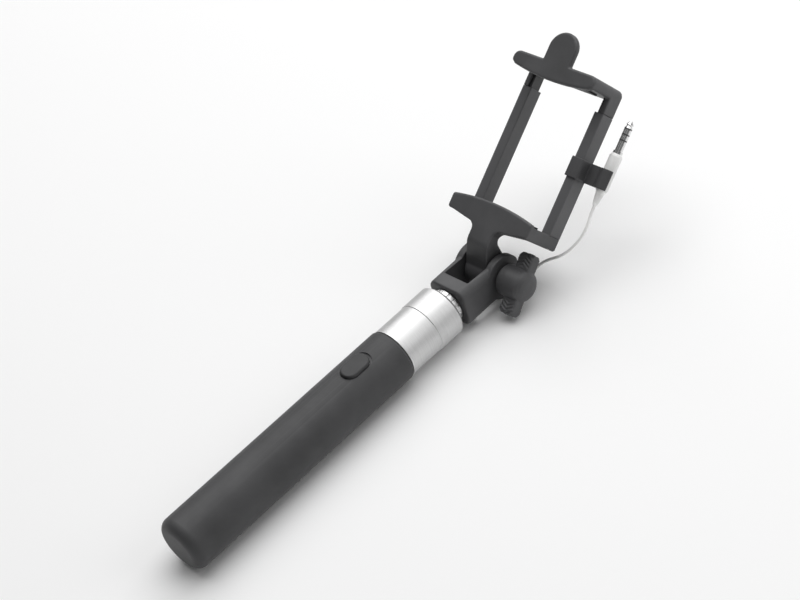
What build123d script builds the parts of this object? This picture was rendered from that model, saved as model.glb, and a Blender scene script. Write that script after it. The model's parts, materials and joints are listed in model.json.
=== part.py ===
"""A wired, telescoping selfie stick, collapsed, with its phone holder tilted and its plug parked in a clip.

The stick lies along +X on the plane Z = 0, with the handle's closed end at -X and the holder at +X.
The knob's side of the stick is -Y. Millimetres. The origin is under the middle of the bounding box.
"""
from build123d import *
from math import cos, radians, sin, tan
import os

os.makedirs("parts", exist_ok=True)

# ---- Driving dimensions: the stick, measured as stations along its axis from the handle's closed end ----
GRIP_RADIUS = 12.5
GRIP_LENGTH = 126.0
GRIP_BORE = 10.5
COLLAR_RADIUS = 12.05
END_RING_RADIUS = 12.3
COLLAR_END = 157.5
END_RING_LENGTH = 14.0
FORK_START = 161.6
SLOT_FLOOR = 168.8
PIVOT_STATION = 186.0

# ---- Driving dimensions: the holder, measured from the pivot along its rails and out of its front ----
TILT = 36.5
HALF_WIDTH = 23.5
HOLDER_BACK = -8.4
HOLDER_FRONT = 14.3
LIP_THICKNESS = 2.7
LOWER_JAW_BOTTOM = 18.6
LOWER_SEAT = 24.6
LOWER_LIP_TOP = 27.9
RAIL_TOP = 81.2
UPPER_LIP_BOTTOM = 85.5
UPPER_SEAT = 88.1
UPPER_JAW_TOP = 93.7
TAB_APEX = 107.6
TAB_WIDTH = 15.2
LIP_CROWN = 118.0
RAIL_WIDTH = 5.0
RAIL_DEPTH = 8.0
CLIP_REACH = 37.4

RUNNING = 0.05

# ---- Where the stick lies: the row's origin is under the middle of the whole length and width ----
REACH = PIVOT_STATION + UPPER_JAW_TOP * cos(radians(TILT)) - HOLDER_BACK * sin(radians(TILT))
AXIS_Y = (CLIP_REACH - HALF_WIDTH) / 2
END = Vector(-REACH / 2, AXIS_Y, GRIP_RADIUS)
PIVOT = END + Vector(PIVOT_STATION, 0, 0)
KNOB_SIDE = Vector(0, -1, 0)
RAIL_WAY = Vector(cos(radians(TILT)), 0, sin(radians(TILT)))
FRONT_WAY = Vector(-sin(radians(TILT)), 0, cos(radians(TILT)))

# Stick planes. Their sketches are (station, up) and (up, knob side).
STICK_SIDE = Plane(origin=END, x_dir=(1, 0, 0), z_dir=KNOB_SIDE)
STICK_ACROSS = Plane(origin=END, x_dir=(0, 0, 1), z_dir=(1, 0, 0))
STICK_AXIS = Axis(END, (1, 0, 0))

# Holder planes. Their sketches are (rail, front), (front, knob side) and (knob side, rail).
HOLDER_SIDE = Plane(origin=PIVOT, x_dir=RAIL_WAY, z_dir=KNOB_SIDE)
HOLDER_ACROSS = Plane(origin=PIVOT, x_dir=FRONT_WAY, z_dir=RAIL_WAY)
HOLDER_FACE = Plane(origin=PIVOT, x_dir=KNOB_SIDE, z_dir=FRONT_WAY)
HEAD_SIDE = Plane(origin=PIVOT, x_dir=(1, 0, 0), z_dir=KNOB_SIDE)


def keep(piece, label):
    """Names a finished piece and writes it as its own STEP file."""
    piece.part.label = label
    export_step(piece.part, f"parts/{label}.step")


def sleeve(label, start, end, outer, inner):
    """Makes a plain ring around the stick's axis, between two stations."""
    with BuildPart() as ring:
        with BuildSketch(STICK_ACROSS.offset(start)):
            Circle(outer)
            Circle(inner, mode=Mode.SUBTRACT)
        extrude(amount=end - start)
    keep(ring, label)


def on_pivot(label, start, end, outer, inner):
    """Makes a plain ring around the pivot's axis, between two distances out to the knob's side."""
    with BuildPart() as ring:
        with BuildSketch(HEAD_SIDE.offset(start)):
            Circle(outer)
            Circle(inner, mode=Mode.SUBTRACT)
        extrude(amount=end - start)
    keep(ring, label)


# ======== Shutter button: a plane square to the button, turned a little towards the knob's side ========
BUTTON_STATION = 105.0
BUTTON_TURN = 8.0
BUTTON_LENGTH = 14.0
BUTTON_WIDTH = 8.4
BUTTON_GAP = 0.3
GROOVE_WIDTH = 1.3
GROOVE_DEPTH = 0.7
BUTTON_FOOT = 10.95
BUTTON_HEIGHT = 13.35
button_up = Vector(0, -sin(radians(BUTTON_TURN)), cos(radians(BUTTON_TURN)))
BUTTON_PLANE = Plane(origin=END + Vector(BUTTON_STATION, 0, 0), x_dir=(1, 0, 0), z_dir=button_up)

# ======== Handle ========
END_WALL = 3.0
END_ROUND = 4.5
MOUTH_ROUND = 1.6
SWITCH_SIZE = 4.6
SWITCH_TOP = 10.1
BOARD_LOW = 8.45
BOARD_HIGH = 9.05

with BuildPart() as grip_sleeve:
    with BuildSketch(STICK_ACROSS):
        Circle(GRIP_RADIUS)
    extrude(amount=GRIP_LENGTH)
    ends = grip_sleeve.edges().filter_by(GeomType.CIRCLE).sort_by(Axis.X)
    fillet(ends[0], radius=END_ROUND)
    fillet(grip_sleeve.edges().filter_by(GeomType.CIRCLE).sort_by(Axis.X)[-1], radius=MOUTH_ROUND)
    with BuildSketch(STICK_ACROSS.offset(END_WALL)):
        Circle(GRIP_BORE)
    extrude(amount=GRIP_LENGTH, mode=Mode.SUBTRACT)
    with BuildSketch(BUTTON_PLANE.offset(GRIP_RADIUS - GROOVE_DEPTH)):
        SlotOverall(BUTTON_LENGTH + 2 * GROOVE_WIDTH, BUTTON_WIDTH + 2 * GROOVE_WIDTH)
    extrude(amount=2, mode=Mode.SUBTRACT)
    with BuildSketch(BUTTON_PLANE.offset(GRIP_BORE - 2)):
        SlotOverall(BUTTON_LENGTH + 2 * BUTTON_GAP, BUTTON_WIDTH + 2 * BUTTON_GAP)
    extrude(amount=6, mode=Mode.SUBTRACT)
keep(grip_sleeve, "grip_sleeve")

TUBE_INNER = 9.7
HANDLE_TUBE_END = 152.0
with BuildPart() as handle_tube:
    with BuildSketch(STICK_ACROSS.offset(END_WALL)):
        Circle(GRIP_BORE)
        Circle(TUBE_INNER, mode=Mode.SUBTRACT)
    extrude(amount=HANDLE_TUBE_END - END_WALL)
    with BuildSketch(BUTTON_PLANE):
        Rectangle(SWITCH_SIZE + 0.6, SWITCH_SIZE + 0.6)
    extrude(amount=GRIP_RADIUS, mode=Mode.SUBTRACT)
keep(handle_tube, "handle_tube")

PLUG_END = 10.0
GUIDE_OUTER = 8.3
GUIDE_INNER = 7.9
SPACER = 5.0
sleeve("outer_tube", PLUG_END, HANDLE_TUBE_END, GUIDE_OUTER, GUIDE_INNER)
sleeve("rear_spacer", PLUG_END + 2, PLUG_END + 2 + SPACER, TUBE_INNER, GUIDE_OUTER)
sleeve("front_spacer", HANDLE_TUBE_END - SPACER, HANDLE_TUBE_END, TUBE_INNER, GUIDE_OUTER)

with BuildPart() as end_plug:
    with BuildSketch(STICK_ACROSS.offset(END_WALL)):
        Circle(TUBE_INNER)
    extrude(amount=PLUG_END - END_WALL)
    with BuildSketch(STICK_ACROSS.offset(END_WALL + 2.5)):
        Circle(TUBE_INNER - 2)
    extrude(amount=PLUG_END, mode=Mode.SUBTRACT)
    with BuildSketch(STICK_ACROSS.offset(END_WALL)):
        Rectangle(2 * TUBE_INNER - 3, 1.6)
        Rectangle(1.6, 2 * TUBE_INNER - 3)
    extrude(amount=PLUG_END - END_WALL)
keep(end_plug, "end_plug")

RING_START = COLLAR_END - END_RING_LENGTH
RING_WALL = 2.0
MOUTH_RADIUS = 8.1
with BuildPart() as collar_sleeve:
    with BuildSketch(STICK_ACROSS.offset(GRIP_LENGTH)):
        Circle(COLLAR_RADIUS)
        Circle(GRIP_BORE, mode=Mode.SUBTRACT)
    extrude(amount=RING_START - GRIP_LENGTH)
keep(collar_sleeve, "collar_sleeve")

with BuildPart() as collar_end_ring:
    with BuildSketch(STICK_SIDE):
        Polygon(
            (RING_START, GRIP_BORE),
            (RING_START, END_RING_RADIUS - 0.25),
            (RING_START + 0.25, END_RING_RADIUS),
            (COLLAR_END - 1.2, END_RING_RADIUS),
            (COLLAR_END, END_RING_RADIUS - 1.2),
            (COLLAR_END, MOUTH_RADIUS + RUNNING),
            (COLLAR_END - RING_WALL, MOUTH_RADIUS + RUNNING),
            (COLLAR_END - RING_WALL, GRIP_BORE),
        )
    revolve(axis=STICK_AXIS)
keep(collar_end_ring, "collar_end_ring")

# The mouth bush is fluted where it stands out of the collar, and flanged behind the collar's end wall.
TELESCOPE_RADIUS = 7.5
MOUTH_END = FORK_START - 0.3
FLUTES = 16
FLUTE_RADIUS = 0.55
with BuildPart() as mouth_bush:
    with BuildSketch(STICK_SIDE):
        Polygon(
            (HANDLE_TUBE_END, TELESCOPE_RADIUS + RUNNING),
            (HANDLE_TUBE_END, GRIP_BORE),
            (COLLAR_END - RING_WALL, GRIP_BORE),
            (COLLAR_END - RING_WALL, MOUTH_RADIUS),
            (MOUTH_END - 0.4, MOUTH_RADIUS),
            (MOUTH_END, MOUTH_RADIUS - 0.25),
            (MOUTH_END, TELESCOPE_RADIUS + RUNNING),
        )
    revolve(axis=STICK_AXIS)
    with BuildSketch(STICK_ACROSS.offset(COLLAR_END + 0.3)):
        with PolarLocations(MOUTH_RADIUS + 0.2, FLUTES):
            Circle(FLUTE_RADIUS)
    extrude(amount=MOUTH_END - COLLAR_END, mode=Mode.SUBTRACT)
keep(mouth_bush, "mouth_bush")

with BuildPart() as switch_pcb:
    with BuildSketch(BUTTON_PLANE.offset(BOARD_LOW)):
        Rectangle(16, 6.4)
    extrude(amount=BOARD_HIGH - BOARD_LOW)
keep(switch_pcb, "switch_pcb")

PLUNGER_RADIUS = 1.3
PLUNGER_FOOT = 9.7
with BuildPart() as switch_body:
    with BuildSketch(BUTTON_PLANE.offset(BOARD_HIGH)):
        Rectangle(SWITCH_SIZE, SWITCH_SIZE)
    extrude(amount=SWITCH_TOP - BOARD_HIGH)
    with BuildSketch(BUTTON_PLANE.offset(BOARD_HIGH + 0.15)):
        Circle(PLUNGER_RADIUS + RUNNING)
    extrude(amount=2, mode=Mode.SUBTRACT)
keep(switch_body, "switch_body")

with BuildPart() as switch_plunger:
    with BuildSketch(BUTTON_PLANE.offset(PLUNGER_FOOT)):
        Circle(PLUNGER_RADIUS)
    extrude(amount=BUTTON_FOOT - PLUNGER_FOOT)
keep(switch_plunger, "switch_plunger")

with BuildPart() as shutter_button:
    with BuildSketch(BUTTON_PLANE.offset(BUTTON_FOOT)):
        SlotOverall(BUTTON_LENGTH, BUTTON_WIDTH)
    extrude(amount=BUTTON_HEIGHT - BUTTON_FOOT)
    crown = shutter_button.faces().sort_by(Axis(END, button_up))[-1]
    fillet(crown.edges(), radius=0.8)
keep(shutter_button, "shutter_button")

# ======== Telescope: six nested tubes, each with a bush on its lower end and a narrowed mouth ========
TUBES = 6
TUBE_STEP = 0.8
TUBE_WALL = 0.4
TUBE_START = 12.0
TUBE_END = MOUTH_END - 0.3
LIP_LENGTH = 3.5
BUSH_LENGTH = 6.0
SOCKET_END = SLOT_FLOOR - 1.0
PIN_RADIUS = 0.9
PIN_STATION = 165.2
PIN_PLANE = Plane(origin=END + Vector(PIN_STATION, 0, 0), x_dir=(1, 0, 0), z_dir=(0, 0, 1))

for number in range(1, TUBES + 1):
    outer = TELESCOPE_RADIUS - TUBE_STEP * (number - 1)
    inner = outer - TUBE_WALL
    last = number == TUBES
    end = SOCKET_END if last else TUBE_END
    mouth = inner if last else outer - TUBE_STEP + RUNNING
    with BuildPart() as tube:
        with BuildSketch(STICK_ACROSS.offset(TUBE_START)):
            Circle(outer)
            Circle(inner, mode=Mode.SUBTRACT)
        extrude(amount=end - TUBE_START)
        if not last:
            with BuildSketch(STICK_ACROSS.offset(end - LIP_LENGTH)):
                Circle(outer)
                Circle(mouth, mode=Mode.SUBTRACT)
            extrude(amount=LIP_LENGTH)
        if last:
            with BuildSketch(PIN_PLANE.offset(-outer)):
                Circle(PIN_RADIUS)
            extrude(amount=2 * outer, mode=Mode.SUBTRACT)
    keep(tube, f"tube_{number}")
    around = GUIDE_INNER if number == 1 else outer + TUBE_STEP - TUBE_WALL
    bush_start = TUBE_START + 0.5
    sleeve(f"friction_bush_{number}", bush_start, bush_start + BUSH_LENGTH, around - RUNNING, outer)

sleeve("coiled_lead", TUBE_START + 4, PIN_STATION - 3, 2.6, 1.2)

# ======== Head: a fork on the innermost tube, with the holder's pivot through its two ears ========
FORK_RADIUS = 10.5
EAR_INSIDE = 7.0
EAR_HALF_DEPTH = 8.2
EAR_RADIUS = 10.4
EAR_ROUND = 1.6
BASE_HALF_DEPTH = 9.8
BASE_ROUND = 4.8
INNER_TUBE_RADIUS = TELESCOPE_RADIUS - TUBE_STEP * (TUBES - 1)
BOLT_RADIUS = 2.0
BOLT_HOLE = BOLT_RADIUS + RUNNING
BOLT_HEX = 4.0
HEX_DEPTH = 2.2
PIN_LOW = -9.6
PIN_HIGH = 4.4
CABLE_RADIUS = 0.7
GROMMET_RADIUS = 1.3
GROMMET_FOOT = 8.0
GROMMET_END = 11.4
GROMMET_OUT = (FORK_RADIUS + EAR_INSIDE) / 2
grommet_way = Vector(0.8, 0, -0.6)
GROMMET_PLANE = Plane(
    origin=PIVOT + KNOB_SIDE * GROMMET_OUT,
    x_dir=KNOB_SIDE,
    z_dir=grommet_way,
)

with BuildPart() as head_fork:
    with BuildSketch(STICK_ACROSS.offset(FORK_START)):
        RectangleRounded(2 * BASE_HALF_DEPTH, 2 * FORK_RADIUS, BASE_ROUND)
    extrude(amount=PIVOT_STATION - FORK_START)
    fillet(head_fork.faces().sort_by(Axis.X)[0].edges(), radius=1.0)
    with BuildSketch(HEAD_SIDE.offset(-FORK_RADIUS)):
        Polygon(
            (0, EAR_HALF_DEPTH),
            (FORK_START - PIVOT_STATION, BASE_HALF_DEPTH),
            (FORK_START - PIVOT_STATION, -BASE_HALF_DEPTH),
            (0, -EAR_HALF_DEPTH),
        )
    extrude(amount=2 * FORK_RADIUS, mode=Mode.INTERSECT)
    for ear_start in (-FORK_RADIUS, EAR_INSIDE):
        with BuildSketch(HEAD_SIDE.offset(ear_start)):
            Circle(EAR_RADIUS)
        extrude(amount=FORK_RADIUS - EAR_INSIDE)
    with BuildSketch(Plane(origin=PIVOT + Vector(0, 0, -EAR_RADIUS))):
        with Locations((EAR_RADIUS - 20, 0)):
            RectangleRounded(40, 2 * FORK_RADIUS, EAR_ROUND)
    extrude(amount=2 * EAR_RADIUS, mode=Mode.INTERSECT)
    with BuildSketch(HEAD_SIDE.offset(-EAR_INSIDE)):
        with Locations((10 - (PIVOT_STATION - SLOT_FLOOR) / 2, 0)):
            Rectangle(PIVOT_STATION - SLOT_FLOOR + 20, 60)
    extrude(amount=2 * EAR_INSIDE, mode=Mode.SUBTRACT)
    with BuildSketch(HEAD_SIDE.offset(-FORK_RADIUS)):
        Circle(BOLT_HOLE)
    extrude(amount=2 * FORK_RADIUS, mode=Mode.SUBTRACT)
    with BuildSketch(HEAD_SIDE.offset(-FORK_RADIUS)):
        RegularPolygon(BOLT_HEX + RUNNING, 6)
    extrude(amount=HEX_DEPTH, mode=Mode.SUBTRACT)
    with BuildSketch(STICK_ACROSS.offset(FORK_START)):
        Circle(INNER_TUBE_RADIUS)
    extrude(amount=SOCKET_END - FORK_START, mode=Mode.SUBTRACT)
    with BuildSketch(PIN_PLANE.offset(-FORK_RADIUS)):
        Circle(PIN_RADIUS)
    extrude(amount=FORK_RADIUS + PIN_HIGH, mode=Mode.SUBTRACT)
    with BuildSketch(GROMMET_PLANE.offset(GROMMET_FOOT)):
        Circle(GROMMET_RADIUS)
    extrude(amount=EAR_RADIUS, mode=Mode.SUBTRACT)
keep(head_fork, "head_fork")

with BuildPart() as head_pin:
    with BuildSketch(PIN_PLANE.offset(PIN_LOW)):
        Circle(PIN_RADIUS)
    extrude(amount=PIN_HIGH - PIN_LOW)
keep(head_pin, "head_pin")

with BuildPart() as cable_grommet:
    with BuildSketch(GROMMET_PLANE.offset(GROMMET_FOOT)):
        Circle(GROMMET_RADIUS)
    extrude(amount=GROMMET_END - GROMMET_FOOT)
    mouth_edge = cable_grommet.edges().sort_by(Axis(PIVOT, grommet_way))[-1]
    chamfer(mouth_edge, length=0.4)
keep(cable_grommet, "cable_grommet")

NECK_HALF = 6.15
KNOB_START = 11.6
INSERT_END = 19.0
BOLT_END = 18.6
with BuildPart() as pivot_bolt:
    with BuildSketch(HEAD_SIDE.offset(-FORK_RADIUS)):
        RegularPolygon(BOLT_HEX, 6)
    extrude(amount=HEX_DEPTH)
    with BuildSketch(HEAD_SIDE.offset(HEX_DEPTH - FORK_RADIUS)):
        Circle(BOLT_RADIUS)
    extrude(amount=BOLT_END + FORK_RADIUS - HEX_DEPTH)
keep(pivot_bolt, "pivot_bolt")

WASHER_RADIUS = 5.0
WASHER_GAP = 0.1
on_pivot("left_washer", -EAR_INSIDE, -NECK_HALF - WASHER_GAP, WASHER_RADIUS, BOLT_HOLE)
on_pivot("right_washer", NECK_HALF + WASHER_GAP, EAR_INSIDE, WASHER_RADIUS, BOLT_HOLE)
on_pivot("knob_washer", FORK_RADIUS, KNOB_START - 0.2, 4.6, BOLT_HOLE)

# ======== Knob: a hub with a domed cap and two ribbed wings ========
HUB_RADIUS = 7.4
HUB_END = 23.2
DOME_RISE = 2.5
WING_START = 15.6
WING_END = 23.6
WING_RADIUS = 14.3
WING_ROOT = 2.7
WING_TIP = 3.5
WING_TURN = 5.0
RIBS = 4
RIB_PITCH = 1.65
INSERT_RADIUS = 3.4
wing_way = RAIL_WAY * cos(radians(WING_TURN)) + FRONT_WAY * sin(radians(WING_TURN))
KNOB_PLANE = Plane(origin=PIVOT, x_dir=wing_way, z_dir=KNOB_SIDE)

with BuildPart() as wing_knob:
    with BuildSketch(KNOB_PLANE.offset(WING_START)):
        Polygon(
            (0, WING_ROOT),
            (WING_RADIUS, WING_TIP),
            (WING_RADIUS, -WING_TIP),
            (0, -WING_ROOT),
            (-WING_RADIUS, -WING_TIP),
            (-WING_RADIUS, WING_TIP),
        )
        Circle(WING_RADIUS, mode=Mode.INTERSECT)
        fillet(vertices(), radius=2.0)
    extrude(amount=WING_END - WING_START)
    with BuildSketch(KNOB_PLANE.offset(WING_START - 0.1)):
        for turn in (0, 180):
            with PolarLocations(WING_RADIUS + 0.35, RIBS, start_angle=turn - 10.5, angular_range=21):
                Circle(0.75)
    extrude(amount=WING_END - WING_START - 0.9, mode=Mode.SUBTRACT)
    with BuildSketch(KNOB_PLANE.offset(KNOB_START)):
        Circle(HUB_RADIUS)
    extrude(amount=HUB_END - KNOB_START)
    DOME_RADIUS = (HUB_RADIUS**2 + DOME_RISE**2) / (2 * DOME_RISE)
    with BuildSketch(Plane(origin=PIVOT, x_dir=RAIL_WAY, z_dir=-FRONT_WAY)):
        with BuildLine():
            Line((0, HUB_END), (0, HUB_END + DOME_RISE))
            RadiusArc((0, HUB_END + DOME_RISE), (HUB_RADIUS, HUB_END), DOME_RADIUS)
            Line((HUB_RADIUS, HUB_END), (0, HUB_END))
        make_face()
    revolve(axis=Axis(PIVOT, KNOB_SIDE))
    with BuildSketch(KNOB_PLANE.offset(KNOB_START)):
        Circle(INSERT_RADIUS)
    extrude(amount=INSERT_END - KNOB_START, mode=Mode.SUBTRACT)
keep(wing_knob, "wing_knob")
on_pivot("knob_insert", KNOB_START, INSERT_END, INSERT_RADIUS, BOLT_HOLE)

# ======== Holder: neck and lower jaw in one moulding, with two hollow rails ========
KNUCKLE_RADIUS = 8.0
NECK_BACK = 8.8
FLARE_FOOT = 16.6
RAIL_MIDDLE = HALF_WIDTH - RAIL_WIDTH / 2
RAIL_FRONT = (HOLDER_BACK + RAIL_DEPTH / 2)
CAVITY = (6.2, 3.2)
SPIGOT = (6.4, 3.4)
SPIGOT_FOOT = 20.6
CAVITY_FLOOR = 27.0
SCREW_RADIUS = 0.8
SCREW_TOP = 24.0
SCREW_HEAD = 1.8
SCREW_HEAD_TOP = LOWER_JAW_BOTTOM + 1.2
ANCHOR_RADIUS = 0.6
ANCHOR_FOOT = 25.2
ANCHOR_TOP = 29.4
LIP_BACK = HOLDER_FRONT - LIP_THICKNESS
SIDES = {"left": -RAIL_MIDDLE, "right": RAIL_MIDDLE}
both_rails = [(RAIL_FRONT, out) for out in SIDES.values()]

with BuildPart() as lower_bracket:
    with BuildSketch(HOLDER_SIDE.offset(-HALF_WIDTH)):
        Polygon(
            (LOWER_JAW_BOTTOM, HOLDER_BACK),
            (LOWER_JAW_BOTTOM, HOLDER_FRONT),
            (LOWER_SEAT, HOLDER_FRONT),
            (LOWER_SEAT, HOLDER_BACK),
        )
    extrude(amount=2 * HALF_WIDTH)
    bottom_corners = lower_bracket.edges().filter_by(Axis(PIVOT, FRONT_WAY)).sort_by(Axis(PIVOT, RAIL_WAY))[:2]
    fillet(bottom_corners, radius=1.2)
    with BuildSketch(HOLDER_FACE.offset(LIP_BACK)):
        with Locations((0, LOWER_LIP_TOP - LIP_CROWN)):
            Circle(LIP_CROWN)
        with Locations((0, (LOWER_JAW_BOTTOM + LOWER_LIP_TOP) / 2 + 1.5)):
            Rectangle(2 * HALF_WIDTH, LOWER_LIP_TOP - LOWER_JAW_BOTTOM - 3, mode=Mode.INTERSECT)
        lip_corners = vertices().sort_by(Axis.Y)[-2:]
        fillet(lip_corners, radius=1.0)
    extrude(amount=LIP_THICKNESS)
    front_edges = lower_bracket.faces().sort_by(Axis(PIVOT, FRONT_WAY))[-1].edges()
    fillet(front_edges, radius=0.8)
    with BuildSketch(HOLDER_SIDE.offset(-NECK_HALF)):
        Circle(KNUCKLE_RADIUS)
        Polygon(
            (LOWER_JAW_BOTTOM + 1, HOLDER_FRONT),
            (9.0, HOLDER_FRONT),
            (-0.8, 7.9),
            (3, -2),
            (7.9, -0.9),
            (12.5, NECK_BACK),
            (LOWER_JAW_BOTTOM + 1, NECK_BACK),
        )
        for rail, front, bend in ((9.0, HOLDER_FRONT, 6.0), (12.5, NECK_BACK, 3.0)):
            fillet(vertices().sort_by_distance((rail, front))[0], radius=bend)
    extrude(amount=2 * NECK_HALF)
    with BuildSketch(HOLDER_FACE.offset(NECK_BACK)):
        Polygon(
            (-NECK_HALF, 12.6),
            (-NECK_HALF, FLARE_FOOT),
            (-HALF_WIDTH + 3, LOWER_JAW_BOTTOM),
            (-HALF_WIDTH + 3, LOWER_JAW_BOTTOM + 3),
            (HALF_WIDTH - 3, LOWER_JAW_BOTTOM + 3),
            (HALF_WIDTH - 3, LOWER_JAW_BOTTOM),
            (NECK_HALF, FLARE_FOOT),
            (NECK_HALF, 12.6),
        )
        for out in (-NECK_HALF, NECK_HALF):
            fillet(vertices().sort_by_distance((out, FLARE_FOOT))[0], radius=3.4)
    extrude(amount=HOLDER_FRONT - NECK_BACK)
    with BuildSketch(HOLDER_SIDE.offset(-NECK_HALF)):
        Circle(BOLT_HOLE)
    extrude(amount=2 * NECK_HALF, mode=Mode.SUBTRACT)
    with BuildSketch(HOLDER_ACROSS.offset(SPIGOT_FOOT)):
        with Locations(*both_rails):
            Rectangle(*SPIGOT)
    extrude(amount=10, mode=Mode.SUBTRACT)
    with BuildSketch(HOLDER_ACROSS.offset(LOWER_JAW_BOTTOM)):
        with Locations(*both_rails):
            Circle(SCREW_RADIUS)
    extrude(amount=3, mode=Mode.SUBTRACT)
    with BuildSketch(HOLDER_ACROSS.offset(LOWER_JAW_BOTTOM)):
        with Locations(*both_rails):
            Circle(SCREW_HEAD)
    extrude(amount=SCREW_HEAD_TOP - LOWER_JAW_BOTTOM, mode=Mode.SUBTRACT)
keep(lower_bracket, "lower_bracket")

with BuildPart() as rail_screws:
    with BuildSketch(HOLDER_ACROSS.offset(LOWER_JAW_BOTTOM + 0.1)):
        with Locations(*both_rails):
            Circle(SCREW_HEAD)
    extrude(amount=SCREW_HEAD_TOP - LOWER_JAW_BOTTOM - 0.1)
    with BuildSketch(HOLDER_ACROSS.offset(SCREW_HEAD_TOP)):
        with Locations(*both_rails):
            Circle(SCREW_RADIUS)
    extrude(amount=SCREW_TOP - SCREW_HEAD_TOP)
    with BuildSketch(HOLDER_ACROSS.offset(LOWER_JAW_BOTTOM + 0.1)):
        with Locations(*both_rails):
            Rectangle(2.2, 0.45)
            Rectangle(0.45, 2.2)
    extrude(amount=0.6, mode=Mode.SUBTRACT)
keep(rail_screws, "rail_screws")

for side, out in SIDES.items():
    middle = (RAIL_FRONT, out)
    with BuildPart() as rail:
        with BuildSketch(HOLDER_ACROSS.offset(LOWER_SEAT)):
            with Locations(middle):
                RectangleRounded(RAIL_DEPTH, RAIL_WIDTH, 0.5)
        extrude(amount=RAIL_TOP - LOWER_SEAT)
        with BuildSketch(HOLDER_ACROSS.offset(SPIGOT_FOOT)):
            with Locations(middle):
                Rectangle(*SPIGOT)
        extrude(amount=LOWER_SEAT - SPIGOT_FOOT)
        with BuildSketch(HOLDER_ACROSS.offset(CAVITY_FLOOR)):
            with Locations(middle):
                Rectangle(*CAVITY)
        extrude(amount=RAIL_TOP, mode=Mode.SUBTRACT)
        with BuildSketch(HOLDER_ACROSS.offset(SPIGOT_FOOT)):
            with Locations(middle):
                Circle(SCREW_RADIUS)
        extrude(amount=SCREW_TOP - SPIGOT_FOOT, mode=Mode.SUBTRACT)
        with BuildSketch(HOLDER_ACROSS.offset(ANCHOR_FOOT)):
            with Locations(middle):
                Circle(ANCHOR_RADIUS)
        extrude(amount=CAVITY_FLOOR - ANCHOR_FOOT, mode=Mode.SUBTRACT)
    keep(rail, f"{side}_rail")

with BuildPart() as spring_anchors:
    with BuildSketch(HOLDER_ACROSS.offset(ANCHOR_FOOT)):
        with Locations(*both_rails):
            Circle(ANCHOR_RADIUS)
    extrude(amount=ANCHOR_TOP - ANCHOR_FOOT)
keep(spring_anchors, "spring_anchors")

PAD_THICKNESS = 0.8
PAD_HALF = 17.0
PAD_MIDDLE = (LIP_BACK - 0.2 + RAIL_FRONT + RAIL_DEPTH / 2) / 2
PAD_DEPTH = 11.0
with BuildPart() as lower_pad:
    with BuildSketch(HOLDER_ACROSS.offset(LOWER_SEAT)):
        with Locations((PAD_MIDDLE, 0)):
            RectangleRounded(PAD_DEPTH, 2 * PAD_HALF, 1.0)
    extrude(amount=PAD_THICKNESS)
keep(lower_pad, "lower_pad")

# ======== Upper jaw, on two legs that slide in the rails against springs ========
LEG = (6.0, 3.0)
LEG_FOOT = 48.0
LEG_TOP = 91.6
SPRING_RADIUS = 1.05
WIRE_RADIUS = 0.22
SPRING_TURNS = 14
SPRING_FOOT = 28.0
SPRING_TOP = LEG_FOOT - 0.3
CHEEK = 1.0
CHEEK_COVER = 2.7
CHEEK_FOOT = RAIL_TOP + RUNNING
JAW_CORNER = 3.2
with BuildPart() as upper_jaw:
    with BuildSketch(HOLDER_SIDE.offset(-HALF_WIDTH)):
        Polygon(
            (UPPER_JAW_TOP, HOLDER_BACK),
            (UPPER_JAW_TOP, HOLDER_FRONT),
            (UPPER_SEAT, HOLDER_FRONT),
            (UPPER_SEAT, HOLDER_BACK),
        )
    extrude(amount=2 * HALF_WIDTH)
    corners = upper_jaw.edges().filter_by(Axis(PIVOT, FRONT_WAY)).sort_by(Axis(PIVOT, RAIL_WAY))
    fillet(corners[:2], radius=1.6)
    fillet(corners[-2:], radius=JAW_CORNER)
    with BuildSketch(HOLDER_FACE.offset(LIP_BACK)):
        with Locations((0, UPPER_LIP_BOTTOM + LIP_CROWN)):
            Circle(LIP_CROWN)
        with Locations((0, (UPPER_JAW_TOP - 2 + UPPER_LIP_BOTTOM) / 2)):
            Rectangle(2 * HALF_WIDTH - 3.2, UPPER_JAW_TOP - 2 - UPPER_LIP_BOTTOM, mode=Mode.INTERSECT)
    extrude(amount=LIP_THICKNESS)
    with BuildSketch(HOLDER_FACE.offset(LIP_BACK)):
        with Locations((0, TAB_APEX - TAB_WIDTH / 2)):
            Circle(TAB_WIDTH / 2)
        with Locations((0, (UPPER_JAW_TOP - 3 + TAB_APEX - TAB_WIDTH / 2) / 2)):
            Rectangle(TAB_WIDTH, TAB_APEX - TAB_WIDTH / 2 - UPPER_JAW_TOP + 3)
    extrude(amount=LIP_THICKNESS)
    front_edges = upper_jaw.faces().sort_by(Axis(PIVOT, FRONT_WAY))[-1].edges()
    fillet(front_edges, radius=0.8)
    with BuildSketch(HOLDER_ACROSS.offset(UPPER_SEAT - 1)):
        with Locations(*both_rails):
            Rectangle(*LEG)
    extrude(amount=LEG_TOP - UPPER_SEAT + 1, mode=Mode.SUBTRACT)
    with BuildSketch(HOLDER_ACROSS.offset(CHEEK_FOOT)):
        with Locations((RAIL_FRONT, HALF_WIDTH - CHEEK / 2), (RAIL_FRONT, CHEEK / 2 - HALF_WIDTH)):
            Rectangle(RAIL_DEPTH, CHEEK)
        cheek_middle = HALF_WIDTH - CHEEK_COVER / 2
        cheek_front = RAIL_FRONT + (RAIL_DEPTH - CHEEK) / 2
        with Locations((cheek_front, cheek_middle), (cheek_front, -cheek_middle)):
            Rectangle(CHEEK, CHEEK_COVER)
    extrude(amount=UPPER_SEAT + 1.8 - CHEEK_FOOT)
keep(upper_jaw, "upper_jaw")

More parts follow.
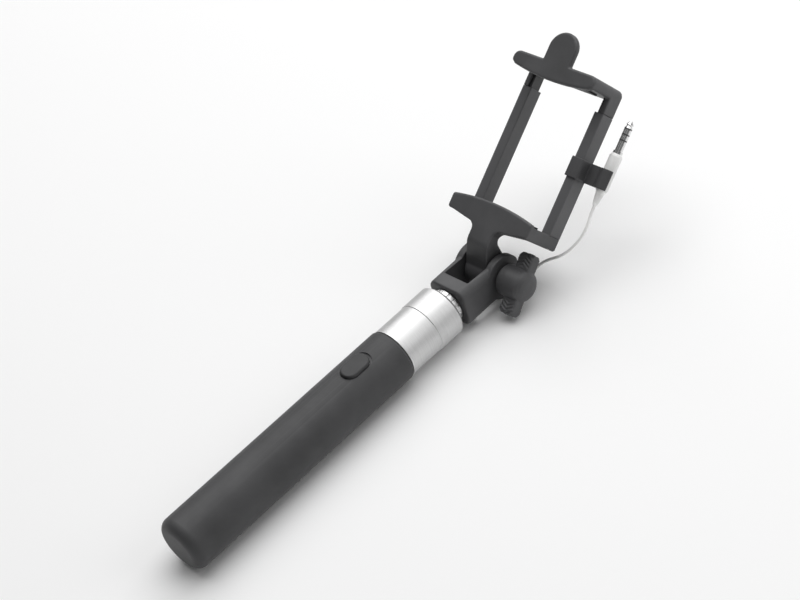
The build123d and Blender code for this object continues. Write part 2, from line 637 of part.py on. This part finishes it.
for side, out in SIDES.items():
    middle = (RAIL_FRONT, out)
    with BuildPart() as leg:
        with BuildSketch(HOLDER_ACROSS.offset(LEG_FOOT)):
            with Locations(middle):
                Rectangle(*LEG)
        extrude(amount=LEG_TOP - LEG_FOOT)
    keep(leg, f"{side}_leg")
    foot = PIVOT + RAIL_WAY * SPRING_FOOT + FRONT_WAY * RAIL_FRONT + KNOB_SIDE * out
    with BuildPart() as spring:
        with BuildLine() as coil:
            Helix(
                pitch=(SPRING_TOP - SPRING_FOOT) / SPRING_TURNS,
                height=SPRING_TOP - SPRING_FOOT,
                radius=SPRING_RADIUS,
                center=foot,
                direction=RAIL_WAY,
            )
        with BuildSketch(Plane(origin=coil.line @ 0, z_dir=coil.line % 0)):
            Circle(WIRE_RADIUS)
        sweep(path=coil.line, is_frenet=True)
    keep(spring, f"{side}_spring")

with BuildPart() as upper_pad:
    with BuildSketch(HOLDER_ACROSS.offset(UPPER_SEAT - PAD_THICKNESS)):
        with Locations((PAD_MIDDLE, 0)):
            RectangleRounded(PAD_DEPTH, 2 * PAD_HALF, 1.0)
    extrude(amount=PAD_THICKNESS)
keep(upper_pad, "upper_pad")

# ======== Plug clip: a band round the right rail and a snap barrel that is open outwards ========
PLUG_OUT = 33.9
PLUG_FRONT = -7.0
BOOT_RADIUS = 2.9
BARREL_RADIUS = 3.9
CLIP_FOOT = 51.2
CLIP_HEIGHT = 9.0
BAND_WALL = 1.0
OPENING_WAY = -38.7
OPENING_HALF = 66.0
with BuildPart() as plug_clip:
    with BuildSketch(HOLDER_ACROSS.offset(CLIP_FOOT)):
        with Locations((RAIL_FRONT, RAIL_MIDDLE)):
            RectangleRounded(RAIL_DEPTH + 2 * BAND_WALL, RAIL_WIDTH + 2 * BAND_WALL, 1.2)
        with Locations((PLUG_FRONT, (HALF_WIDTH + PLUG_OUT) / 2)):
            Rectangle(3.0, PLUG_OUT - HALF_WIDTH)
        with Locations((PLUG_FRONT, PLUG_OUT)):
            Circle(BARREL_RADIUS)
            Circle(BOOT_RADIUS + RUNNING, mode=Mode.SUBTRACT)
        with Locations((RAIL_FRONT, RAIL_MIDDLE)):
            RectangleRounded(RAIL_DEPTH + 2 * RUNNING, RAIL_WIDTH + 2 * RUNNING, 0.5, mode=Mode.SUBTRACT)
        with BuildLine():
            edge_a = radians(OPENING_WAY - OPENING_HALF)
            edge_b = radians(OPENING_WAY + OPENING_HALF)
            middle_way = radians(OPENING_WAY)
            Polyline(
                (PLUG_FRONT, PLUG_OUT),
                (PLUG_FRONT + 6 * sin(edge_a), PLUG_OUT + 6 * cos(edge_a)),
                (PLUG_FRONT + 12 * sin(middle_way), PLUG_OUT + 12 * cos(middle_way)),
                (PLUG_FRONT + 6 * sin(edge_b), PLUG_OUT + 6 * cos(edge_b)),
                close=True,
            )
        make_face(mode=Mode.SUBTRACT)
    extrude(amount=CLIP_HEIGHT)
keep(plug_clip, "plug_clip")

# ======== Plug: boot, strain relief and four contacts parted by insulating rings ========
PLUG_FOOT = PIVOT + KNOB_SIDE * PLUG_OUT + FRONT_WAY * PLUG_FRONT
PLUG_SIDE = Plane(origin=PLUG_FOOT, x_dir=RAIL_WAY, z_dir=KNOB_SIDE)
PLUG_AXIS = Axis(PLUG_FOOT, RAIL_WAY)
CONTACT_RADIUS = 1.75
RELIEF_FOOT = 44.0
RELIEF_TOP = 50.5
BOOT_TOP = 68.0
CONTACT_FOOT = 69.2
RING = 0.6


def turned_plug(label, *profile):
    """Makes a piece of the plug by turning a profile of (height, radius) points about the plug's axis."""
    with BuildPart() as piece:
        with BuildSketch(PLUG_SIDE):
            Polygon((profile[0][0], 0), *profile, (profile[-1][0], 0))
        revolve(axis=PLUG_AXIS)
    keep(piece, label)


turned_plug(
    "plug_boot",
    (RELIEF_TOP, 2.3),
    (RELIEF_TOP + 1.2, BOOT_RADIUS),
    (BOOT_TOP - 1.2, BOOT_RADIUS),
    (BOOT_TOP, 2.4),
)
turned_plug("plug_relief", (RELIEF_FOOT, 1.1), (RELIEF_TOP, 2.1))
turned_plug(
    "plug_sleeve",
    (BOOT_TOP, 2.2),
    (CONTACT_FOOT, 2.2),
    (CONTACT_FOOT, CONTACT_RADIUS),
    (CONTACT_FOOT + 4.7, CONTACT_RADIUS),
)
ring_feet = [CONTACT_FOOT + 4.7, CONTACT_FOOT + 7.4, CONTACT_FOOT + 10.1]
for name, low, high in (
    ("plug_ring_2", ring_feet[0] + RING, ring_feet[1]),
    ("plug_ring_1", ring_feet[1] + RING, ring_feet[2]),
):
    turned_plug(name, (low, CONTACT_RADIUS), (high, CONTACT_RADIUS))
turned_plug(
    "plug_tip",
    (ring_feet[2] + RING, CONTACT_RADIUS),
    (ring_feet[2] + 1.3, 1.5),
    (ring_feet[2] + 1.7, 1.25),
    (ring_feet[2] + 2.3, 1.7),
    (ring_feet[2] + 3.9, 0.5),
)
with BuildPart() as plug_insulators:
    for foot in ring_feet:
        with BuildSketch(Plane(origin=PLUG_FOOT + RAIL_WAY * foot, z_dir=RAIL_WAY)):
            Circle(CONTACT_RADIUS)
        extrude(amount=RING)
keep(plug_insulators, "plug_insulators")

# ======== Cable: (knob side, rail, front) points from the grommet, behind the knob, to the plug ========
grommet_rail = grommet_way.dot(RAIL_WAY)
grommet_front = grommet_way.dot(FRONT_WAY)
FIRST_RUN = 4.0
ROUTE = [
    (GROMMET_OUT, GROMMET_END * grommet_rail, GROMMET_END * grommet_front),
    (GROMMET_OUT, (GROMMET_END + FIRST_RUN) * grommet_rail, (GROMMET_END + FIRST_RUN) * grommet_front),
    (11.2, 7.6, -16.2),
    (14.4, 12.2, -15.4),
    (19.2, 15.2, -13.2),
    (25.0, 18.0, -11.2),
    (30.0, 22.6, -9.6),
    (33.4, 28.8, -8.4),
    (34.6, 35.0, -7.5),
    (34.0, 39.8, -7.03),
    (PLUG_OUT, RELIEF_FOOT, PLUG_FRONT),
]
route = [PIVOT + KNOB_SIDE * out + RAIL_WAY * rail + FRONT_WAY * front for out, rail, front in ROUTE]
BEND_SHARE = 0.45
radii = []
for before, corner, after in zip(route, route[1:], route[2:]):
    shorter = min((corner - before).length, (after - corner).length)
    turn = (corner - before).get_angle(after - corner)
    radii.append(BEND_SHARE * shorter / tan(radians(turn / 2)))

with BuildPart() as cable:
    with BuildLine() as path:
        FilletPolyline(*route, radius=radii)
    with BuildSketch(Plane(origin=path.line @ 0, z_dir=path.line % 0)):
        Circle(CABLE_RADIUS)
    sweep(path=path.line)
keep(cable, "cable")
print("cable radii", [round(r, 1) for r in radii])
print("cable length", round(sum(e.length for e in path.edges()), 1))
for point in route:
    print("route point", [round(value, 2) for value in point])
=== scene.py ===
"""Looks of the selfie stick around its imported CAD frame."""

import json
import math

import bmesh
import bpy
from mathutils import Matrix, Vector


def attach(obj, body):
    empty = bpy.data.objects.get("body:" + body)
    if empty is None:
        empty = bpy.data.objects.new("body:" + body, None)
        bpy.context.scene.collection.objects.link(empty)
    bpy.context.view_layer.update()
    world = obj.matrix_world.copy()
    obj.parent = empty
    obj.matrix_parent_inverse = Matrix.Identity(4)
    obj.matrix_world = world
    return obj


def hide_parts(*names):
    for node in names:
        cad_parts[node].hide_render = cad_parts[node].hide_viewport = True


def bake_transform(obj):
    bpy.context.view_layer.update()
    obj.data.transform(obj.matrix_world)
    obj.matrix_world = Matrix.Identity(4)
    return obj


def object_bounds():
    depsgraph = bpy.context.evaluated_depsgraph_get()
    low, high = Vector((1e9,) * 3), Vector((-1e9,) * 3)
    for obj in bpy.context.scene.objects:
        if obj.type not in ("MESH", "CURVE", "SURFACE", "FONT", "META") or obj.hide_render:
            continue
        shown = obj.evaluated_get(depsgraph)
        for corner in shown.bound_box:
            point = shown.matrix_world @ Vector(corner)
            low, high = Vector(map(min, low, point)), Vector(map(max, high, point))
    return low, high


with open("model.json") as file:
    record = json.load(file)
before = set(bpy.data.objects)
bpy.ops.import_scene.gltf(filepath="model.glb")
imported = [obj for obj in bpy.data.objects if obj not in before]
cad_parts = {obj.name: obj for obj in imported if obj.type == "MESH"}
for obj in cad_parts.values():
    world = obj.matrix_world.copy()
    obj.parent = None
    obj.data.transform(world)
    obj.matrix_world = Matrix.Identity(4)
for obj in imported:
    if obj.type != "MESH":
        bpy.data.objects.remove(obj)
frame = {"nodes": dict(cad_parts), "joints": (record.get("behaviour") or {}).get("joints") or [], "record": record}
CAD_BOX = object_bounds()
NODES = frame["nodes"]
JOINTS = {joint["name"]: joint for joint in frame["joints"]}

# The two working frames: the stick along +X, and the holder's rails.
PIVOT = Vector(JOINTS["holder_tilt"]["pos_m"])
OUT = Vector(JOINTS["holder_tilt"]["axis"])
RAIL = Vector(JOINTS["jaw_slide"]["axis"])
FRONT = OUT.cross(RAIL)
MM = 0.001

# ---------------------------------------------------------------- camera
CAMERA_AT = (-0.3329, -0.5179, 0.5709)
CAMERA_RIGHT = (0.6807, -0.6899, -0.2465)
CAMERA_UP = (0.6069, 0.3425, 0.7172)
CAMERA_BACK = (-0.4104, -0.6378, 0.6518)
LENS = 88

camera_data = bpy.data.cameras.new("camera")
camera_data.lens = LENS
camera_data.clip_start = 0.01
camera_data.clip_end = 20
camera = bpy.data.objects.new("camera", camera_data)
turn = Matrix((CAMERA_RIGHT, CAMERA_UP, CAMERA_BACK)).transposed()
camera.matrix_world = Matrix.Translation(CAMERA_AT) @ turn.to_4x4()
bpy.context.scene.collection.objects.link(camera)
bpy.context.scene.camera = camera


# ---------------------------------------------------------------- materials
WORN_EDGE = (0.52, 0.60)  # pointiness where wear starts and where it is full
WEAR_AMOUNT = 0.5
WORN_GAIN = 1.9  # how much paler a worn edge is
CLOUD_SPAN = 0.14  # how far clouds lighten and darken a moulding
GLOSS_SPAN = 0.07  # how far its roughness varies
CLOUD_SCALE = 55
GLOSS_SCALE = 240
SHEEN_ROUGHNESS = 0.4
LATHE_STRETCH = 100  # lathe lines are this much finer along the stick than round it
LATHE_ROUND = 1.5
LATHE_SCALE = 90


def new_material(name, color, roughness, metallic=0.0):
    """A material and its node tree, with the even values set on the shader itself."""
    material = bpy.data.materials.new(name)
    material.use_nodes = True
    tree = material.node_tree
    shader = tree.nodes["Principled BSDF"]
    shader.inputs["Base Color"].default_value = (*color, 1)
    shader.inputs["Roughness"].default_value = roughness
    shader.inputs["Metallic"].default_value = metallic
    return material, tree, shader


def noise(tree, scale, detail=3, stretch=(1, 1, 1)):
    """Noise in the object's own coordinates, scale in cycles a metre."""
    place = tree.nodes.new("ShaderNodeTexCoord")
    mapping = tree.nodes.new("ShaderNodeMapping")
    mapping.inputs["Scale"].default_value = stretch
    texture = tree.nodes.new("ShaderNodeTexNoise")
    texture.inputs["Scale"].default_value = scale
    texture.inputs["Detail"].default_value = detail
    tree.links.new(place.outputs["Object"], mapping.inputs["Vector"])
    tree.links.new(mapping.outputs["Vector"], texture.inputs["Vector"])
    return texture.outputs["Fac"]


def ramp(tree, source, low, high, start=0.35, end=0.65):
    """A two-colour ramp over a grey source."""
    node = tree.nodes.new("ShaderNodeValToRGB")
    node.color_ramp.elements[0].position = start
    node.color_ramp.elements[1].position = end
    node.color_ramp.elements[0].color = (*low, 1)
    node.color_ramp.elements[1].color = (*high, 1)
    tree.links.new(source, node.inputs["Fac"])
    return node.outputs["Color"]


def spread(tree, source, low, high):
    """A grey source brought to the span low to high."""
    node = tree.nodes.new("ShaderNodeMapRange")
    node.inputs["To Min"].default_value = low
    node.inputs["To Max"].default_value = high
    tree.links.new(source, node.inputs["Value"])
    return node.outputs["Result"]


def bump(tree, shader, source, depth, strength=0.3):
    """Relief of the given depth in metres."""
    node = tree.nodes.new("ShaderNodeBump")
    node.inputs["Strength"].default_value = strength
    node.inputs["Distance"].default_value = depth
    tree.links.new(source, node.inputs["Height"])
    tree.links.new(node.outputs["Normal"], shader.inputs["Normal"])


def edge_wear(tree, under, worn, amount):
    """A colour that turns to the worn one on convex edges."""
    geometry = tree.nodes.new("ShaderNodeNewGeometry")
    span = tree.nodes.new("ShaderNodeMapRange")
    span.inputs["From Min"].default_value = WORN_EDGE[0]
    span.inputs["From Max"].default_value = WORN_EDGE[1]
    span.inputs["To Max"].default_value = amount
    mix = tree.nodes.new("ShaderNodeMix")
    mix.data_type = "RGBA"
    mix.inputs["B"].default_value = (*worn, 1)
    tree.links.new(geometry.outputs["Pointiness"], span.inputs["Value"])
    tree.links.new(span.outputs["Result"], mix.inputs["Factor"])
    tree.links.new(under, mix.inputs["A"])
    return mix.outputs["Result"]


def shade(value, tint=(1, 1, 1)):
    """A grey of the given value with a light tint."""
    return tuple(value * part for part in tint)


def moulded(name, value, roughness, grain=2600, depth=0.00006, tint=(1, 1, 1.04), sheen=0.0):
    """Moulded plastic or rubber: fine grain, cloudy gloss, and paler worn edges."""
    material, tree, shader = new_material(name, shade(value, tint), roughness)
    cloud = noise(tree, CLOUD_SCALE, 4)
    darker = shade(value * (1 - CLOUD_SPAN), tint)
    lighter = shade(value * (1 + CLOUD_SPAN), tint)
    color = ramp(tree, cloud, darker, lighter)
    worn = edge_wear(tree, color, shade(value * WORN_GAIN, tint), WEAR_AMOUNT)
    tree.links.new(worn, shader.inputs["Base Color"])
    gloss = noise(tree, GLOSS_SCALE, 3)
    uneven = spread(tree, gloss, roughness - GLOSS_SPAN, roughness + GLOSS_SPAN)
    tree.links.new(uneven, shader.inputs["Roughness"])
    bump(tree, shader, noise(tree, grain, 2), depth)
    if sheen:
        shader.inputs["Sheen Weight"].default_value = sheen
        shader.inputs["Sheen Roughness"].default_value = SHEEN_ROUGHNESS
    return material


def turned(name, value, roughness, scale=LATHE_SCALE, tint=(1, 1, 1), depth=0.00002):
    """Metal with fine lathe lines round the stick's axis."""
    material, tree, shader = new_material(name, shade(value, tint), roughness, 1.0)
    rings = noise(tree, scale, 2, (LATHE_STRETCH, LATHE_ROUND, LATHE_ROUND))
    color = ramp(tree, rings, shade(value * 0.93, tint), shade(min(1, value * 1.05), tint))
    tree.links.new(color, shader.inputs["Base Color"])
    smears = noise(tree, 70, 4)
    uneven = spread(tree, smears, roughness * 0.8, roughness * 1.25)
    tree.links.new(uneven, shader.inputs["Roughness"])
    bump(tree, shader, rings, depth, 0.15)
    return material


def plated(name, value, roughness, tint=(1, 1, 1)):
    """Polished metal with faint smears."""
    material, tree, shader = new_material(name, shade(value, tint), roughness, 1.0)
    smears = noise(tree, 120, 4)
    uneven = spread(tree, smears, roughness * 0.6, roughness * 1.6)
    tree.links.new(uneven, shader.inputs["Roughness"])
    bump(tree, shader, noise(tree, 900, 2), 0.00001, 0.1)
    return material


FINISHES = {
    "grip_rubber": moulded("grip_rubber", 0.046, 0.62, 3200, 0.00008, sheen=0.12),
    "button_rubber": moulded("button_rubber", 0.036, 0.60, 3200, 0.00007, sheen=0.1),
    "black_plastic": moulded("black_plastic", 0.068, 0.52, 2400, 0.00007),
    "leg_plastic": moulded("leg_plastic", 0.018, 0.40, 1800, 0.00004),
    "pad_rubber": moulded("pad_rubber", 0.022, 0.75, 1500, 0.0001, sheen=0.1),
    "collar_metal": turned("collar_metal", 0.66, 0.52),
    "bush_metal": turned("bush_metal", 0.62, 0.36, 70),
    "tube_steel": plated("tube_steel", 0.80, 0.12),
    "inner_plastic": moulded("inner_plastic", 0.07, 0.55),
    "lead_jacket": moulded("lead_jacket", 0.04, 0.55),
    "circuit_board": moulded("circuit_board", 0.12, 0.4, tint=(0.2, 1, 0.4)),
    "fastener_steel": plated("fastener_steel", 0.60, 0.30),
    "insert_brass": plated("insert_brass", 0.75, 0.30, (1, 0.8, 0.4)),
    "white_cable": moulded("white_cable", 0.90, 0.42, 1600, 0.00003, (1, 1, 0.99)),
    "white_plastic": moulded("white_plastic", 0.86, 0.38, 1500, 0.00003, (1, 1, 0.99)),
    "contact_metal": plated("contact_metal", 0.72, 0.22),
    "insulator": moulded("insulator", 0.03, 0.4),
}


def coat(piece, finish):
    """Gives a piece one finish all over."""
    piece.data.materials.clear()
    piece.data.materials.append(FINISHES[finish])


# ---------------------------------------------------------------- the audio cable
CABLE_ROUTE = [
    (0.06196, -0.00180, 0.00566),
    (0.06516, -0.00180, 0.00326),
    (0.06859, -0.00425, 0.00400),
    (0.07181, -0.00745, 0.00738),
    (0.07291, -0.01225, 0.01093),
    (0.07397, -0.01805, 0.01420),
    (0.07672, -0.02305, 0.01823),
    (0.08099, -0.02645, 0.02288),
    (0.08544, -0.02765, 0.02729),
    (0.08902, -0.02705, 0.03052),
    (0.09237, -0.02695, 0.03305),
]
CABLE_DIAMETER = 0.0014
CABLE_SIDES = 16


def smooth_line(name, points, steps=12):
    """Points along the NURBS line that these control points make."""
    curve = bpy.data.curves.new(name, "CURVE")
    curve.dimensions = "3D"
    curve.resolution_u = steps
    spline = curve.splines.new("NURBS")
    spline.points.add(len(points) - 1)
    for knot, point in zip(spline.points, points):
        knot.co = (*point, 1)
    spline.order_u = 3
    spline.use_endpoint_u = True
    holder = bpy.data.objects.new(name, curve)
    mesh = bpy.data.meshes.new_from_object(holder)
    line = [vertex.co.copy() for vertex in mesh.vertices]
    bpy.data.meshes.remove(mesh)
    bpy.data.objects.remove(holder)
    bpy.data.curves.remove(curve)
    return line


def object_from(name, build):
    """A new object whose mesh is what build makes in a bmesh."""
    mesh = bpy.data.meshes.new(name)
    work = bmesh.new()
    build(work)
    bmesh.ops.recalc_face_normals(work, faces=work.faces)
    work.to_mesh(mesh)
    work.free()
    for face in mesh.polygons:
        face.use_smooth = True
    piece = bpy.data.objects.new(name, mesh)
    bpy.context.scene.collection.objects.link(piece)
    return piece


def skin(work, rings):
    """Faces through a row of equal rings, with a cap on each end."""
    count = len(rings[0])
    for first, second in zip(rings, rings[1:]):
        for index in range(count):
            after = (index + 1) % count
            work.faces.new((first[index], first[after], second[after], second[index]))
    work.faces.new(rings[0])
    work.faces.new(rings[-1])


def tube_along(line, radius, sides):
    """A closed round tube that follows the line."""
    def build(work):
        way = (line[1] - line[0]).normalized()
        across = way.orthogonal().normalized()
        rings = []
        for index, point in enumerate(line):
            ahead = line[min(index + 1, len(line) - 1)] - line[max(index - 1, 0)]
            ahead.normalize()
            across = (across - ahead * across.dot(ahead)).normalized()
            over = ahead.cross(across)
            ring = []
            for side in range(sides):
                angle = 2 * math.pi * side / sides
                spot = point + (across * math.cos(angle) + over * math.sin(angle)) * radius
                ring.append(work.verts.new(spot))
            rings.append(ring)
        skin(work, rings)
    return build


cable_line = smooth_line("cable_route", CABLE_ROUTE)
audio_cable = object_from("audio_cable", tube_along(cable_line, CABLE_DIAMETER / 2, CABLE_SIDES))
coat(audio_cable, "white_cable")
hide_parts("cable")
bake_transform(audio_cable)

# ---------------------------------------------------------------- the wing knob
KNOB_TURN = math.radians(5)
LOBE_WAY = RAIL * math.cos(KNOB_TURN) + FRONT * math.sin(KNOB_TURN)
ACROSS_WAY = LOBE_WAY.cross(OUT)
LOBE_CORNERS = [
    # along the lobes, across them, corner radius, all in millimetres
    (14.2, 3.7, 2.6), (0, 2.7, 0.1), (-14.2, 3.7, 2.6),
    (-14.2, -3.7, 2.6), (0, -2.7, 0.1), (14.2, -3.7, 2.6),
]
LOBE_FOOT = 15.7
LOBE_TOP = 23.5
LOBE_EDGE = 1.3
RIB_PITCH = 1.7
RIB_DEPTH = 0.6
RIB_SLANT = 0.55
RIB_START = 7.6  # ribs fade in from here along the lobe
RIB_FADE = 1.5
RIB_EDGE_FADE = 0.8  # and towards the rounded edges
LOBE_SPACING = 0.16
LOBE_LEVELS = 26
CORNER_STEPS = 8
HUB_SIDES = 96
HUB_PROFILE = [
    # distance out to the side, radius
    (11.7, 3.5), (11.7, 6.6), (12.1, 7.1), (15.5, 7.4), (19.5, 7.4), (22.2, 7.25), (23.6, 6.6),
    (24.7, 5.3), (25.3, 3.6), (25.6, 1.7), (25.65, 0.02),
]


def rounded_outline(corners, spacing):
    """A closed rounded outline through the corners: even points, each with its inward normal."""
    path = []
    for index, (along, across, radius) in enumerate(corners):
        here = Vector((along, across))
        back = (Vector(corners[index - 1][:2]) - here).normalized()
        ahead = (Vector(corners[(index + 1) % len(corners)][:2]) - here).normalized()
        half = back.angle(ahead) / 2
        centre = here + (back + ahead).normalized() * (radius / math.sin(half))
        first = here + back * (radius / math.tan(half))
        last = here + ahead * (radius / math.tan(half))
        for step in range(CORNER_STEPS + 1):
            spot = first.lerp(last, step / CORNER_STEPS)
            path.append(centre + (spot - centre).normalized() * radius)
    lengths = [(after - before).length for before, after in zip(path, path[1:] + path[:1])]
    count = round(sum(lengths) / spacing)
    points = []
    for number in range(count):
        left = sum(lengths) * number / count
        index = 0
        while left > lengths[index]:
            left -= lengths[index]
            index += 1
        points.append(path[index].lerp(path[(index + 1) % len(path)], left / lengths[index]))
    outline = []
    for index, point in enumerate(points):
        way = points[(index + 1) % count] - points[index - 1]
        outline.append((point, Vector((-way.y, way.x)).normalized()))
    return outline


def knob_point(along, across, out):
    """A point on the knob, given in millimetres from the pivot."""
    return PIVOT + (LOBE_WAY * along + ACROSS_WAY * across + OUT * out) * MM


def build_knob(work):
    """Two ribbed lobes with rounded edges, through a turned hub with a domed cap."""
    outline = rounded_outline(LOBE_CORNERS, LOBE_SPACING)
    rings = []
    for level in range(LOBE_LEVELS + 1):
        out = LOBE_FOOT + (LOBE_TOP - LOBE_FOOT) * level / LOBE_LEVELS
        from_edge = min(out - LOBE_FOOT, LOBE_TOP - out)
        inset = 0.0
        if from_edge < LOBE_EDGE:
            inset = LOBE_EDGE - math.sqrt(LOBE_EDGE ** 2 - (LOBE_EDGE - from_edge) ** 2)
        slant = abs(out - (LOBE_FOOT + LOBE_TOP) / 2) * RIB_SLANT
        ring = []
        for point, normal in outline:
            turns = (abs(point.x) + slant) / RIB_PITCH
            along_fade = min(1, max(0, (abs(point.x) - RIB_START) / RIB_FADE))
            fade = along_fade * min(1, from_edge / RIB_EDGE_FADE)
            rib = RIB_DEPTH * fade * (0.5 + 0.5 * math.cos(2 * math.pi * turns))
            spot = point + normal * (inset + rib)
            ring.append(work.verts.new(knob_point(spot.x, spot.y, out)))
        rings.append(ring)
    skin(work, rings)
    hoops = []
    for out, radius in HUB_PROFILE:
        hoop = []
        for side in range(HUB_SIDES):
            angle = 2 * math.pi * side / HUB_SIDES
            along = radius * math.cos(angle)
            across = radius * math.sin(angle)
            hoop.append(work.verts.new(knob_point(along, across, out)))
        hoops.append(hoop)
    skin(work, hoops)


knob = object_from("knob_moulding", build_knob)
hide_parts("wing_knob")
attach(knob, "knob")
coat(knob, "black_plastic")

# ---------------------------------------------------------------- finishes of the CAD nodes
for part in frame["record"]["subparts"]:
    coat(NODES[part["node"]], part["material_slot"])

# Moulded parts have soft edges and blends: they are remeshed finely, then smoothed.
KNOB_VOXEL = 0.00020
SOFTENED = {
    # node: voxel size in metres, smoothing passes
    "head_fork": (0.00028, 8),
    "lower_bracket": (0.00034, 5),
    "upper_jaw": (0.00034, 5),
    "plug_clip": (0.00022, 4),
}


def soften(piece, voxel, passes):
    """Rounds a closed moulded shape all over."""
    remesh = piece.modifiers.new("remesh", "REMESH")
    remesh.mode = "VOXEL"
    remesh.voxel_size = voxel
    remesh.use_smooth_shade = True
    smooth = piece.modifiers.new("smooth", "SMOOTH")
    smooth.factor = 0.5
    smooth.iterations = passes


for name, (voxel, passes) in SOFTENED.items():
    soften(NODES[name], voxel, passes)
soften(knob, KNOB_VOXEL, 1)

# ---------------------------------------------------------------- floor and light
FLOOR_SIZE = 6.0
FLOOR_GREY = 0.93
FLOOR_ROUGHNESS = 0.75
FLOOR_DROP = 0.0002


def build_floor(work):
    """One flat square under the object."""
    half = FLOOR_SIZE / 2
    corners = [(-half, -half, 0), (half, -half, 0), (half, half, 0), (-half, half, 0)]
    work.faces.new([work.verts.new(corner) for corner in corners])


floor = object_from("floor", build_floor)
floor_material, _, _ = new_material("floor", shade(FLOOR_GREY), FLOOR_ROUGHNESS)
floor.data.materials.append(floor_material)
floor.location.z = CAD_BOX[0].z - FLOOR_DROP

AIM = PIVOT * 0.3
LIGHTS = [
    # name, place, side length, power
    ("key", (0.65, 0.35, 1.40), 2.2, 35.0),
    ("side", (0.75, -1.05, 0.80), 0.8, 4.0),
    ("fill", (-0.75, -0.75, 0.80), 0.7, 0.5),
]
for name, place, side, power in LIGHTS:
    light = bpy.data.lights.new(name, "AREA")
    light.shape = "SQUARE"
    light.size = side
    light.energy = power
    lamp = bpy.data.objects.new(name, light)
    lamp.location = place
    lamp.rotation_mode = "QUATERNION"
    lamp.rotation_quaternion = (AIM - Vector(place)).to_track_quat("-Z", "Y")
    bpy.context.scene.collection.objects.link(lamp)

WORLD_LIGHT = 0.14
world = bpy.data.worlds.new("studio")
world.use_nodes = True
world.node_tree.nodes["Background"].inputs["Color"].default_value = (1, 1, 1, 1)
world.node_tree.nodes["Background"].inputs["Strength"].default_value = WORLD_LIGHT
bpy.context.scene.world = world
bpy.context.scene.view_settings.view_transform = "Standard"
